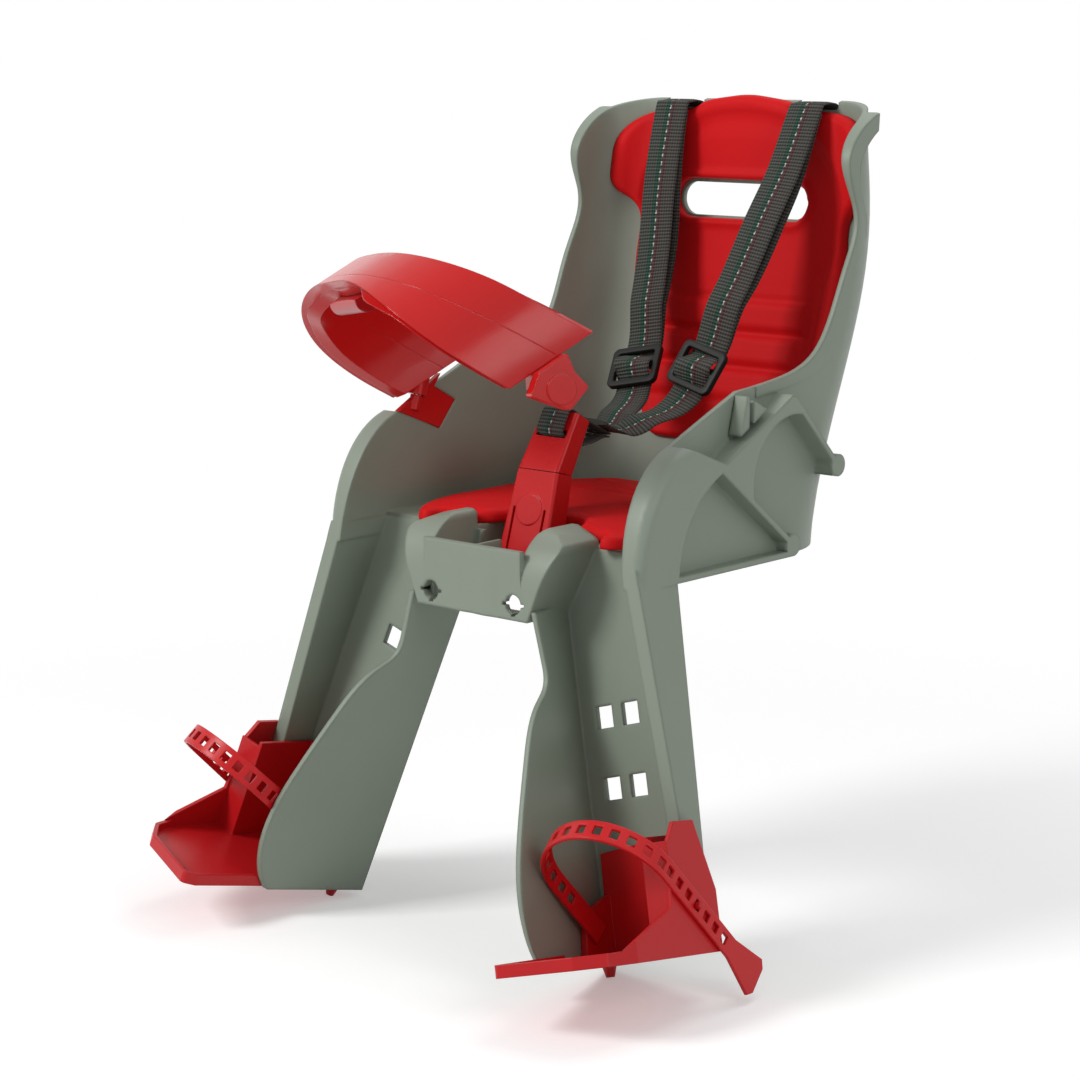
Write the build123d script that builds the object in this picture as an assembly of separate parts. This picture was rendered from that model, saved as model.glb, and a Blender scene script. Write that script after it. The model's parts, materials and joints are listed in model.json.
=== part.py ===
from build123d import *
import os
from math import copysign, cos, radians, sin, tan

# Front mounted child bike seat. Millimetres, Z up, child faces -Y, child's left is +X.
# Heights below are measured from the floor under the feet; parts are written with the
# origin midway between the two bracket keyholes.

# Overall
MOUNT_Z = 240.0
WALL = 4.0
GAP = 0.4

# Bucket: inner sizes
SEAT_HALF = 125.0
SKIRT_Z = 262.0
SEAT_Z = 290.0
PAN_Z = SEAT_Z - 12
SHELL_TOP = 581.0
TOP_CROWN = 17.0
BACK_LOW = 246.0
BACK_HIGH = 310.0
BACK_CORNER = 38.0
PAN_CORNER = 60.0
TUB_FRONT = -30.0
TUB_SECTIONS = (
    (SKIRT_Z, SEAT_HALF + 7, BACK_LOW, PAN_CORNER),
    (SEAT_Z + 10, SEAT_HALF + 2.5, BACK_LOW + 11, PAN_CORNER - 4),
    (SEAT_Z + 60, SEAT_HALF, BACK_LOW + 28, PAN_CORNER - 10),
    (SEAT_Z + 110, SEAT_HALF + 1, BACK_HIGH - 20, BACK_CORNER + 8),
    (SHELL_TOP - 131, SEAT_HALF + 3, BACK_HIGH - 10, BACK_CORNER + 4),
    (SHELL_TOP - 61, SEAT_HALF - 1, BACK_HIGH - 4, BACK_CORNER),
    (SHELL_TOP + 4, SEAT_HALF - 3, BACK_HIGH, BACK_CORNER),
)

# Rim of the side walls, side view (Y, Z)
ARM_FRONT = (57.0, 351.0)
ARM_REAR = (128.0, 380.5)
POCKET_LOW = (101.0, 334.0)
LIP = 13.0
LIP_OUT = 5.0
FLANGE_OUT = 145.0
FLANGE_LOW_Y = 46.0
FLANGE_EDGE = 8.0

# Side ribs, side view
CUP_CENTRE = (173.0, 316.0)
CUP_R = 46.0
RIB_TOP = (172.0, 374.0)
RIB_TAB_REAR = (226.0, 320.0)
RIB_TAB_LOW = (174.0, 270.0)
TAB_R = 8.0

# Slot through the back
BACK_SLOT = (118.0, 25.0)
BACK_SLOT_Z = 497.0

# Legs: sideways and rearward run per unit of height, frame at the foot
LEG_OUT = 0.309
LEG_BACK = 0.17
LEG_FOOT = Vector(162.7, 5.4, 18.0)
LEG_HALF = 43.0
LEG_TOE = 0.152
LEG_LENGTH = 300.0
LEG_EDGE = 11.0
LEG_SLOT = (14.0, 15.0)
LEG_SLOT_COLUMNS = (-22.0, 0.5)
LEG_SLOT_ROWS = (163.0, 114.5)
LEG_SLOT_LIFT_RIGHT = 19.0

# Crossbar and knee humps
BAR_HALF = 45.0
CROSS_Z0 = 229.0
CROSS_Z1 = 277.0
HUMP_X = (42.0, 72.0)
HUMP_CREST = 52.0
HUMP_R = 40.0
HUMP_DEPTH = 52.0
POCKET_BACK = 84.0
SHELF_Z = 256.0
KEY_PITCH = 76.6
KEY_R = 7.0

# Pads
PAD = 9.0
PAD_TOP_Z = SHELL_TOP - 6

# Slots for the shoulder straps at the top of the back
STRAP_X = 62.0
STRAP_SLOT = (36.0, 8.5)
STRAP_SLOT_Z = SHELL_TOP - 11.6

# Buckle post
POST_Y = 59.0
POST_LEAN = 16.0
POST_HEIGHT = 64.0
BOSS_R = 11.0
BOSS_TILT = 5.0
TONGUE_LEAN = 31.0
TONGUE_HEIGHT = 44.0
WEB_WIDTH = 30.0
WEB_THICK = 2.4

# Front bar, drawn closed and then swung open about its pin
BAR_Y = 95.0
BAR_Z = 384.0
BAR_SPAN = 134.0
BAR_REACH = 122.0
BAR_SQUARE = 0.76
BAR_THICK = 18.0
BAR_SLOPE = 28.0
BAR_RISE = 32.0
BAR_SEAM = -4.0
BAR_BACK = 26.0
BAR_FRONT = 46.0
BAR_RIM = 12.0
BAR_LINER = 24.0
BAR_SKIN = 3.0
BAR_SCOOP = 10.0
HINGE_ARM = 6.5
GRIP_HALF = 30.0
GRIP_R = 8.0
HINGE = Vector(-126.0, 78.0, 362.0)
HINGE_TILT = 16.0
BAR_OPEN = 29.0
PIN_R = 2.5
PIN_RUN = 0.06
BARREL_R = 4.4
BARREL_TOP = -1.0
KNUCKLE_R = 7.4
PIN_TOP = 22.0

# Foot trays and straps, in the leg's own frame
TRAY = 3.5
EAR_TOP = 86.0
EAR_WALL = 3.0
EAR_ROOM = 3.4
CHEEK_X = -37.0
CHEEK = 5.0
NUB_DROP = 10.1
STRAP_TILT = (45.6, 58.0)
STRAP_LOOP = (34.0, 67.0)
STRAP_TAIL = (-44.0, -30.0)
STRAP_WIDTH = 15.0
STRAP_THICK = 2.5
STRAP_PEG = (-33.0, 31.0)


def side_slab(face, x0, x1):
    """Solid from x0 to x1 over a side view face drawn as (Y, Z)."""
    return extrude(Plane.YZ.offset(x0) * face, x1 - x0, dir=(1, 0, 0))


def front_slab(face, y0, y1):
    """Solid from y0 to y1 over a front view face drawn as (X, Z)."""
    view = Plane(origin=(0, y0, 0), x_dir=(1, 0, 0), z_dir=(0, -1, 0))
    return extrude(view * face, y1 - y0, dir=(0, 1, 0))


def block(x0, x1, y0, y1, z0, z1):
    """Box between two corners."""
    middle = Pos((x0 + x1) / 2, (y0 + y1) / 2, (z0 + z1) / 2)
    return middle * Box(x1 - x0, y1 - y0, z1 - z0)


def outline(*points):
    """Face inside straight edges."""
    return make_face(Polyline(*points, close=True))


def both_sides(shape):
    """The shape and its mirror image across the middle."""
    return shape + mirror(shape, Plane.YZ)


def tub(grow):
    """Bucket volume, its walls moved outward by grow."""
    sections = []
    for z, half, back, radius in TUB_SECTIONS:
        depth = back + grow - TUB_FRONT
        plan = Pos(0, TUB_FRONT + depth / 2, z) * Rectangle(2 * (half + grow), depth)
        rounded = fillet(plan.vertices().group_by(Axis.Y)[-1], radius + grow)
        sections.append(rounded.face())
    return loft(sections)


def back_line(ahead, behind):
    """Side view strip along the inside of the back, from ahead of it to behind it."""
    front = [(back - ahead, z) for z, half, back, radius in TUB_SECTIONS]
    rear = [(back + behind, z) for z, half, back, radius in reversed(TUB_SECTIONS)]
    return outline(*front, *rear)


def rim_face():
    """Side view of the walls: everything behind and below the rim."""
    top = (BACK_HIGH + 30, SHELL_TOP)
    wing = Spline(
        top,
        (BACK_HIGH - 14, SHELL_TOP - 14),
        (BACK_HIGH - 38, SHELL_TOP - 25),
        (BACK_HIGH - 56, SHELL_TOP - 49),
        (BACK_HIGH - 46, SHELL_TOP - 86),
        (BACK_HIGH - 60, SHELL_TOP - 125),
        (BACK_HIGH - 92, ARM_REAR[1] + 19),
        (BACK_HIGH - 140, ARM_REAR[1] + 4),
        ARM_REAR,
    )
    arm = Line(ARM_REAR, ARM_FRONT)
    front = front_edge()
    base = Polyline(front @ 1, (BACK_HIGH + 60, SKIRT_Z), (BACK_HIGH + 60, SHELL_TOP), top)
    return make_face(wing + arm + front + base)


def front_edge():
    """Front edge of the side wall, from the armrest down to the leg."""
    return Spline(ARM_FRONT, (29, SEAT_Z + 43), (11.5, SEAT_Z + 14), (4, SKIRT_Z))


def side_flange():
    """Hollow band outside the front edge of the left wall, open to the rear."""
    front = front_edge()
    rear = Spline((FLANGE_LOW_Y, SKIRT_Z), (58, SEAT_Z + 12), POCKET_LOW)
    foot = Line(front @ 1, rear @ 0)
    shoulder = Line(POCKET_LOW, ARM_FRONT)
    band = make_face(front + foot + rear + shoulder)
    hollow = Pos(WALL + 0.5, -6) * band
    outer = side_slab(band, SEAT_HALF, FLANGE_OUT)
    edge = outer.edges().filter_by_position(Axis.X, FLANGE_OUT - 0.1, FLANGE_OUT + 0.1).sort_by(Axis.Y)[0]
    outer = fillet(edge, FLANGE_EDGE)
    return outer - side_slab(hollow, SEAT_HALF + WALL, FLANGE_OUT - WALL)


def rib(start, end, x0, x1):
    """Flat rib between two side view points."""
    line = Line(start, end)
    run = line.length
    bar = Rot(0, 0, line.tangent_angle_at(0)) * (Pos(run / 2, 0) * Rectangle(run, WALL))
    return side_slab(Pos(*start) * bar, x0, x1)


def side_ribs():
    """Crossing ribs, cup and bottom shelf outside the left wall."""
    x0 = SEAT_HALF
    x1 = FLANGE_OUT
    root = (POCKET_LOW[0] - 8, POCKET_LOW[1] - 2)
    web = outline(root, RIB_TOP, RIB_TAB_REAR, RIB_TAB_LOW)
    cup = Pos(*CUP_CENTRE) * Circle(CUP_R)
    ring = (Pos(*CUP_CENTRE) * Circle(CUP_R + WALL)) - cup
    ribs = rib(root, RIB_TOP, x0, x1)
    ribs += rib(root, RIB_TAB_LOW, x0, x1)
    ribs += rib(RIB_TOP, RIB_TAB_REAR, x0, x1)
    ribs += side_slab(web - cup, x1 - WALL, x1)
    ribs += side_slab(ring & web, x0, x1)
    for tab in (RIB_TAB_REAR, RIB_TAB_LOW):
        ribs += side_slab(Pos(*tab) * Circle(TAB_R), x0, x1)
    ribs += block(x0, x1, FLANGE_LOW_Y, RIB_TAB_LOW[0], SKIRT_Z, SKIRT_Z + WALL)
    return ribs


def wing_lip():
    """Lip outside the rim of the left wing."""
    face = rim_face()
    band = face - Pos(LIP, -LIP / 2) * face
    upper = outline(
        (ARM_REAR[0] + 20, SEAT_Z), (BACK_HIGH + 60, SEAT_Z),
        (BACK_HIGH + 60, SHELL_TOP + 20), (ARM_REAR[0] + 20, SHELL_TOP + 20),
    )
    return side_slab(band & upper & back_line(200, -BACK_CORNER / 2), SEAT_HALF - 6, SEAT_HALF + LIP_OUT)


def leg_frame():
    """Frame of the left leg at the foot: X outward, Y rearward, Z up the leg."""
    along = Vector(-LEG_OUT, LEG_BACK, 1).normalized()
    across = (Vector(1, 0, 0) - along * along.X).normalized()
    return Plane(origin=LEG_FOOT, x_dir=across, z_dir=along)


def channel_face(y):
    """Where the leg's inner wall faces the foot, at a depth in the leg's frame."""
    return -LEG_HALF - LEG_TOE * y


def leg():
    """Left leg: a channel open to the front, with a deep inner wall."""
    frame = leg_frame()
    reach = 130.0
    foot = channel_face(-reach)
    rear = outline(
        (-LEG_HALF - WALL, 0), (LEG_HALF + 1, 0), (LEG_HALF + 1, WALL), (-LEG_HALF - WALL, WALL)
    )
    inner = outline(
        (channel_face(WALL), WALL), (channel_face(WALL) - WALL, WALL), (foot - WALL, -reach), (foot, -reach)
    )
    web = outline((LEG_HALF, WALL), (LEG_HALF, -60), (LEG_HALF + WALL, -60), (LEG_HALF + WALL, 1))
    edge = outline(
        (LEG_HALF + 1, WALL), (LEG_HALF + 1, -60), (LEG_HALF + LEG_EDGE, -60), (LEG_HALF + LEG_EDGE, WALL)
    )
    groove = outline(
        (LEG_HALF + WALL, WALL + 1), (LEG_HALF + WALL, -60),
        (LEG_HALF + LEG_EDGE - WALL, -60), (LEG_HALF + LEG_EDGE - WALL, WALL + 1),
    )
    inner_keep = make_face(
        Spline(
            (0, SEAT_Z - 89), (-5, SEAT_Z - 102), (-18, SEAT_Z - 110), (-46, 148), (-69, 110),
            (-85, 70), (-83, 36), (-64, 10),
        )
        + Polyline((-64, 10), (-64, 0), (90, 0), (90, CROSS_Z0 + 8), (0, CROSS_Z0 + 8), (0, SEAT_Z - 89))
    )
    front = front_edge()
    low = (-16, 4)
    edge_keep = make_face(
        front + Polyline(front @ 1, low, (low[0], 0), (120, 0), (120, ARM_FRONT[1]), ARM_FRONT)
    )
    rear_keep = outline(
        (-8, 0), (-6, 18), (FLANGE_LOW_Y, SKIRT_Z), (FLANGE_LOW_Y, PAN_Z), (-200, PAN_Z), (-200, 0),
    )
    groove_keep = Pos(WALL + 0.5, 0) * edge_keep
    below_pan = block(0, 300, -200, 300, 0, PAN_Z - WALL / 2)
    rear_wall = frame * extrude(rear, LEG_LENGTH) & below_pan
    inner_wall = frame * extrude(inner, LEG_LENGTH) & side_slab(inner_keep, 0, 300)
    outer_edge = frame * extrude(edge, LEG_LENGTH) & side_slab(rear_keep, 0, 300)
    outer_edge += frame * extrude(web, LEG_LENGTH)
    outer_edge = outer_edge & side_slab(edge_keep, 0, 300) & below_pan
    outer_edge -= frame * extrude(groove, LEG_LENGTH) & side_slab(groove_keep, 0, 300)
    return rear_wall + inner_wall + outer_edge


def leg_slots(lift):
    """Cutters for the height slots in the left leg's rear wall."""
    cutters = []
    for x in LEG_SLOT_COLUMNS:
        for z in LEG_SLOT_ROWS:
            cutters.append(leg_frame() * (Pos(x, 0, z + lift) * Box(LEG_SLOT[0], 6 * WALL, LEG_SLOT[1])))
    return cutters


def hump_side(inset):
    """Side view of the hump, rounded at its top front, inset from the front and top."""
    top = SEAT_Z + 1 - inset
    rear = HUMP_DEPTH + inset
    side = outline((inset, CROSS_Z0 - 20), (inset, top), (rear, top), (rear, CROSS_Z0 - 20))
    corner = side.vertices().sort_by(Axis.X)[0:2].sort_by(Axis.Y)[-1]
    return fillet(corner, HUMP_R - inset)


def hump():
    """Rounded knee hump at the top of the left leg's inner wall, hollow from behind."""
    inner, outer = HUMP_X
    front = outline(
        (inner, CROSS_Z0), (inner + 9, CROSS_Z0), (outer - 11, SEAT_Z - 37), (outer, SEAT_Z - 9),
        (HUMP_CREST, SEAT_Z), (inner, SEAT_Z),
    )
    front = fillet(front.vertices().sort_by(Axis.Y)[-3:], 5)
    solid = front_slab(front, 0, HUMP_DEPTH) & side_slab(hump_side(0), 0, 100)
    return solid - (front_slab(offset(front, -WALL), 0, HUMP_DEPTH + 1) & side_slab(hump_side(WALL), 0, 100))


def crossbar():
    """Front wall between the legs, its lip, rib, shelf and the pan's front wall."""
    facet = 12.0
    plan = outline(
        (-BAR_HALF, 0), (-2 * facet, 0), (-facet, -1), (0, 0), (facet, -1), (2 * facet, 0), (BAR_HALF, 0),
        (BAR_HALF, WALL), (-BAR_HALF, WALL),
    )
    wall = extrude(Pos(0, 0, CROSS_Z0) * plan, CROSS_Z1 - CROSS_Z0)
    wall += block(-BAR_HALF, BAR_HALF, 0, 14, CROSS_Z0, CROSS_Z0 + WALL)
    wall += block(-HUMP_X[0] - 1, HUMP_X[0] + 1, POST_Y - 22, POCKET_BACK, SHELF_Z - WALL, SHELF_Z)
    wall += block(-HUMP_X[0] - 1, HUMP_X[0] + 1, POCKET_BACK - WALL, POCKET_BACK, SHELF_Z - WALL, PAN_Z)
    wall += block(-10, -7, 1, POST_Y - 20, SHELF_Z - WALL, CROSS_Z1 - 3)
    for side in (-1, 1):
        cheek = side * (HUMP_X[0] + WALL / 2)
        wall += Pos(cheek, (HUMP_DEPTH + POCKET_BACK) / 2 - 2, (SHELF_Z - WALL + PAN_Z) / 2) * Box(
            WALL, POCKET_BACK - HUMP_DEPTH + 4, PAN_Z - SHELF_Z + WALL
        )
    return wall


def keyholes():
    """Cutters for the two bracket keyholes with their side notches."""
    shape = Circle(KEY_R) + Pos(0, -0.8 * KEY_R) * Rectangle(0.55 * KEY_R, 0.8 * KEY_R)
    shape += Rectangle(2.8 * KEY_R, 0.34 * KEY_R)
    cutters = []
    for side in (-1, 1):
        face = Pos(side * KEY_PITCH / 2, MOUNT_Z) * shape
        cutters.append(front_slab(face, -5, 1.8 * WALL))
    return cutters


def notch_face(clear):
    """Side view of the hinge plate's notch in the right wall, shrunk by clear."""
    points = [ARM_FRONT, POCKET_LOW, (118, 354), (96, 366), (104, 376)]
    face = outline(*points)
    if clear:
        face = offset(face, -clear, kind=Kind.INTERSECTION)
    return face


def seat_shell():
    """The grey moulding."""
    outer = tub(WALL)
    inner = tub(0)
    crown_end = SHELL_TOP - 1.7 * TOP_CROWN
    crown = ThreePointArc((-170, crown_end), (0, SHELL_TOP), (170, crown_end))
    under_crown = front_slab(
        make_face(crown + Polyline(crown @ 1, (170, 0), (-170, 0), crown @ 0)), -100, 500
    )
    outside = both_sides(side_flange() + side_ribs() + wing_lip()) - inner
    walls = (outer - inner) & side_slab(rim_face(), -200, 200)
    pan = tub(WALL / 2) & block(-200, 200, HUMP_DEPTH - 2, 400, PAN_Z - WALL, PAN_Z)
    pan -= block(-HUMP_X[0], HUMP_X[0], 0, POCKET_BACK - WALL, SHELF_Z, PAN_Z + 1)
    shell = (walls + outside) & under_crown
    shell += pan
    shell += both_sides(leg() + hump())
    shell += crossbar()
    for cutter in leg_slots(0) + [mirror(c, Plane.YZ) for c in leg_slots(LEG_SLOT_LIFT_RIGHT)] + keyholes():
        shell -= cutter
    slots = Pos(0, BACK_SLOT_Z) * SlotOverall(*BACK_SLOT)
    slots += both_sides(Pos(STRAP_X, STRAP_SLOT_Z) * RectangleRounded(*STRAP_SLOT, 3))
    shell -= front_slab(slots, BACK_LOW, BACK_HIGH + 50)
    shell -= side_slab(notch_face(0), -SEAT_HALF - 2 * WALL, -SEAT_HALF + 2 * WALL)
    return shell


def back_pad():
    """Foam pad on the back, with a wide headrest and the slot."""
    half = [
        (58, SEAT_Z + 28), (96, SEAT_Z + 105), (100, SHELL_TOP - 131), (98, SHELL_TOP - 93),
        (112, SHELL_TOP - 77), (113, PAD_TOP_Z - 34), (103, PAD_TOP_Z - 21), (84, PAD_TOP_Z - 12),
        (STRAP_X - 18, PAD_TOP_Z - 7),
    ]
    points = half + [(-x, z) for x, z in reversed(half)]
    face = outline(*points)
    face = fillet(face.vertices(), 6)
    face -= Pos(0, BACK_SLOT_Z) * SlotOverall(*BACK_SLOT)
    skin = tub(-GAP) - tub(-GAP - PAD)
    strip = side_slab(back_line(BACK_CORNER, WALL), -200, 200)
    return skin & front_slab(face, BACK_LOW - 60, BACK_HIGH + 50) & strip


def seat_pad():
    """Foam pad on the pan, with thigh lobes beside the post."""
    edge = SEAT_HALF - 13
    rear = BACK_LOW - 8
    behind = HUMP_DEPTH + 5
    outside = HUMP_X[1] + 5
    half = [
        (30, POCKET_BACK + 4), (44, behind), (outside, behind), (outside + 2, 38), (edge - 20, 42),
        (edge - 7, 68), (edge, 100), (edge - 2, rear - 56), (edge - 40, rear),
    ]
    points = half + [(-x, y) for x, y in reversed(half)]
    face = fillet(outline(*points).vertices(), 7)
    return extrude(Pos(0, 0, PAN_Z + GAP) * face, PAD)


def post_frame():
    """Frame of the buckle housing at its foot."""
    lean = radians(POST_LEAN)
    return Plane(origin=(0, POST_Y, SHELF_Z), x_dir=(1, 0, 0), z_dir=(0, sin(lean), cos(lean)))


def tongue_frame():
    """Frame of the tongue at the top of the housing."""
    top = post_frame().from_local_coords(Vector(0, 0, POST_HEIGHT))
    lean = radians(TONGUE_LEAN)
    return Plane(origin=top, x_dir=(1, 0, 0), z_dir=(0, sin(lean), cos(lean)))


def buckle_housing():
    """Lower half of the buckle: a tapered block with a flex tab and thumb boss."""
    frame = post_frame()
    foot = Pos(0, 0, -10) * RectangleRounded(46, 20, 3)
    body = loft([foot, Pos(0, 0, POST_HEIGHT) * RectangleRounded(38, 18, 3)], ruled=True)
    for side in (-1, 1):
        body -= Pos(side * 14, -10, 20) * Box(2, 10, 34)
    boss = Pos(0, -7.6, 36) * Rot(0, 0, BOSS_TILT) * Rot(90, 0, 0) * Cylinder(BOSS_R, 6)
    return (frame * (body + boss)) & block(-60, 60, 0, 150, SHELF_Z + GAP, 400)


def buckle_tongue():
    """Upper half of the buckle with the webbing slot."""
    frame = tongue_frame()
    foot = Pos(0, 0, -10) * RectangleRounded(38, 18, 3)
    body = loft([foot, Pos(0, 0, TONGUE_HEIGHT) * RectangleRounded(34, 16, 3)], ruled=True)
    body -= Pos(0, 0, 27) * Box(WEB_WIDTH - 3, 60, 6)
    top = post_frame().offset(POST_HEIGHT + GAP)
    return split(frame * body, bisect_by=top, keep=Keep.TOP)


def harness_loop():
    """Webbing loop through the tongue's slot, back to where the straps join."""
    top = TONGUE_HEIGHT
    outer = outline((-12.5, 25), (-12.5, top + 3), (12, top + 3), (54, top + 7), (54, top + 2), (13, 25))
    inner = outline((-10.5, 27), (-10.5, top + 1), (11, top + 1), (50, top + 4.2), (12, 27.4))
    frame = tongue_frame()
    view = Plane(origin=frame.origin, x_dir=frame.y_dir, z_dir=(1, 0, 0))
    face = view * (outer - inner)
    return extrude(face, WEB_WIDTH / 2 - 3, dir=(1, 0, 0), both=True)


def strap_band(points, width, thick):
    """Flat band through a list of points, its width kept as level as the path lets it."""
    path = [Vector(*p) for p in points]
    sections = []
    for i, point in enumerate(path):
        before = path[max(i - 1, 0)]
        after = path[min(i + 1, len(path) - 1)]
        run = (after - before).normalized()
        across = (Vector(1, 0, 0) - run * run.X).normalized()
        sections.append((Plane(origin=point, x_dir=across, z_dir=run) * Rectangle(width, thick)).face())
    return loft(sections, ruled=True)


def strap_frame(points, index):
    """Frame on a strap: X across it, Z out of its rear."""
    path = [Vector(*p) for p in points]
    run = (path[index + 1] - path[index - 1]).normalized()
    across = (Vector(1, 0, 0) - run * run.X).normalized()
    return Plane(origin=path[index], x_dir=across, z_dir=across.cross(run))


STRAP_REAR = BACK_HIGH + WALL + 2.9
STRAP_BEND = (
    (STRAP_REAR, STRAP_SLOT_Z - 30), (STRAP_REAR, STRAP_SLOT_Z - 7), (STRAP_REAR - 5.5, STRAP_SLOT_Z),
    (BACK_HIGH - 12, STRAP_SLOT_Z), (BACK_HIGH - 18, STRAP_SLOT_Z - 6),
)
STRAP_LEFT = tuple((STRAP_X, y, z) for y, z in STRAP_BEND) + (
    (61, 270, 523), (57, 248, 487), (50, 228, 445), (44, 209, 414), (38, 196, 385), (28, 179, 358),
    (18, 163, 343),
)
STRAP_RIGHT = tuple((-STRAP_X, y, z) for y, z in STRAP_BEND) + (
    (-61, 278, 511), (-57, 266, 459), (-49, 246, 415), (-40, 221, 378), (-30, 199, 355), (-20, 174, 343),
)
ADJUSTER_LEFT = 9
ADJUSTER_RIGHT = 8


def adjuster(points, index):
    """Ladder adjuster behind a strap."""
    plate = RectangleRounded(WEB_WIDTH + 12, 34, 5)
    plate -= RectangleRounded(WEB_WIDTH + 2, 24, 2)
    plate += Rectangle(WEB_WIDTH + 4, 6)
    return strap_frame(points, index) * (Pos(0, 0, WEB_THICK / 2 + GAP) * extrude(plate, 5))


def keeper(x):
    """Keeper round the strap's end behind the back."""
    ring = RectangleRounded(WEB_WIDTH + 8, 8, 2) - Rectangle(WEB_WIDTH + 1, WEB_THICK + 1)
    return extrude(Pos(x, STRAP_REAR, STRAP_SLOT_Z - 26) * ring, 14)


def hinge_axis():
    """Line that the bar swings about."""
    tilt = radians(HINGE_TILT)
    return Axis(HINGE, (0, sin(tilt), cos(tilt)))


def hinge_rod(radius, low, high):
    """Round rod on the hinge line between two heights along it."""
    frame = Plane(origin=HINGE, x_dir=(1, 0, 0), z_dir=hinge_axis().direction)
    return frame * (Pos(0, 0, (low + high) / 2) * Cylinder(radius, high - low))


def swing_open(shape):
    """Turn a piece of the closed bar to the open pose of the photograph."""
    return shape.rotate(hinge_axis(), -BAR_OPEN)


def arch_plane():
    """Plane of the bar's arch: X across, Y up and forward to the crown."""
    rise = radians(BAR_RISE)
    return Plane(origin=(0, BAR_Y, BAR_Z), x_dir=(1, 0, 0), z_dir=(0, -sin(rise), -cos(rise)))


def band_plane():
    """Plane of the bar's band: X across, Y along the armrests to the rear."""
    slope = radians(BAR_SLOPE)
    return Plane(origin=(0, BAR_Y, BAR_Z), x_dir=(1, 0, 0), z_dir=(0, -sin(slope), cos(slope)))


def arch_line(inset):
    """Squared half ellipse from the left arm over the crown to the right arm."""
    points = []
    for step in range(13):
        across = cos(radians(15 * step))
        up = abs(sin(radians(15 * step)))
        x = copysign((BAR_SPAN - inset) * abs(across) ** BAR_SQUARE, across)
        points.append((x, (BAR_REACH - inset) * up ** BAR_SQUARE))
    return Spline(*points)


def arch_face(outside, inside):
    """Band of the arch between two insets; the right arm runs on down to the hinge."""
    outer = arch_line(outside)
    inner = arch_line(inside)
    left = Line(outer @ 0, inner @ 0)
    right = Polyline(outer @ 1, (outer @ 1) - (0, HINGE_ARM), (inner @ 1) - (0, HINGE_ARM), inner @ 1)
    return make_face(outer + left + inner + right)


def arch_solid(face, start, end):
    """Arch face of the bar's closed pose, run along the armrests from start to end."""
    along = band_plane().y_dir
    return extrude(Location(along * start) * (arch_plane() * face), end - start, dir=along)


def arch_wall():
    """Whole thickness of the bar's band."""
    return arch_face(0, BAR_THICK)


def arch_hollow():
    """Space inside the band's skin, closed at the arms' ends."""
    return arch_face(BAR_SKIN, BAR_THICK - BAR_SKIN) - Pos(0, BAR_SKIN - 50) * Rectangle(3 * BAR_SPAN, 100)


def across_band(face):
    """Cutter through the band over a face drawn as across and along the armrests."""
    low = Location(arch_plane().y_dir * -BAR_REACH) * (band_plane() * face)
    return extrude(low, 3 * BAR_REACH, dir=arch_plane().y_dir)


def above_edge(*half):
    """Part of the band behind a front edge given on its left half, from the crown outward."""
    end = (BAR_SPAN + 12, -BAR_FRONT - 5)
    points = [*half, end]
    edge = Spline(*[(-x, y) for x, y in reversed(points)], (0, half[0][1]), *points)
    return across_band(make_face(edge + Polyline(edge @ 1, (end[0], 10), (-end[0], 10), edge @ 0)))


def bar_upper_shell():
    """Rear half of the bar's band, hollow from the seam."""
    shell = arch_solid(arch_wall(), BAR_SEAM, BAR_BACK)
    far = shell.faces().sort_by(Axis(arch_plane().origin, arch_plane().z_dir))[0]
    shell = chamfer(far.edges().filter_by(GeomType.LINE, reverse=True), 2.5)
    return shell - arch_solid(arch_hollow(), BAR_SEAM, BAR_BACK - BAR_SKIN)


def bar_lower_shell():
    """Front half of the band: a rim that widens to the arms, a set back liner and the pin's socket."""
    low = -2 * BAR_FRONT
    rim = arch_solid(arch_face(0, BAR_SCOOP), low, BAR_SEAM)
    shell = rim & above_edge(
        (0.3 * BAR_SPAN, -BAR_RIM), (0.62 * BAR_SPAN, -BAR_LINER + 3), (0.9 * BAR_SPAN, -36),
    )
    liner = arch_solid(arch_face(BAR_SCOOP - 1, BAR_THICK), low, BAR_SEAM)
    shell += liner & above_edge(
        (0.34 * BAR_SPAN, -BAR_RIM - 1), (0.5 * BAR_SPAN, -BAR_LINER), (0.7 * BAR_SPAN, -30),
        (0.9 * BAR_SPAN, -41),
    )
    shell -= arch_solid(arch_hollow(), BAR_SEAM - 5, BAR_SEAM)
    socket = hinge_rod(KNUCKLE_R, BARREL_TOP + GAP, PIN_TOP + BAR_SKIN)
    shell += socket - arch_solid(arch_face(-10, BAR_THICK + 10), BAR_SEAM, BAR_BACK)
    return shell - hinge_rod(PIN_R + PIN_RUN, BARREL_TOP - 20, PIN_TOP + 0.5)


def bar_grip():
    """Grip roll along the inside of the crown."""
    up = BAR_REACH - BAR_THICK - GRIP_R + 2
    centre = arch_plane().from_local_coords(Vector(0, up, 0)) + band_plane().y_dir * (-BAR_RIM - 3)
    roll = Pos(*centre) * Rot(0, 90, 0) * Cylinder(GRIP_R, 2 * GRIP_HALF)
    return roll - arch_solid(arch_face(0, BAR_THICK + GAP / 2), -2 * BAR_FRONT, BAR_BACK)


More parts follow.
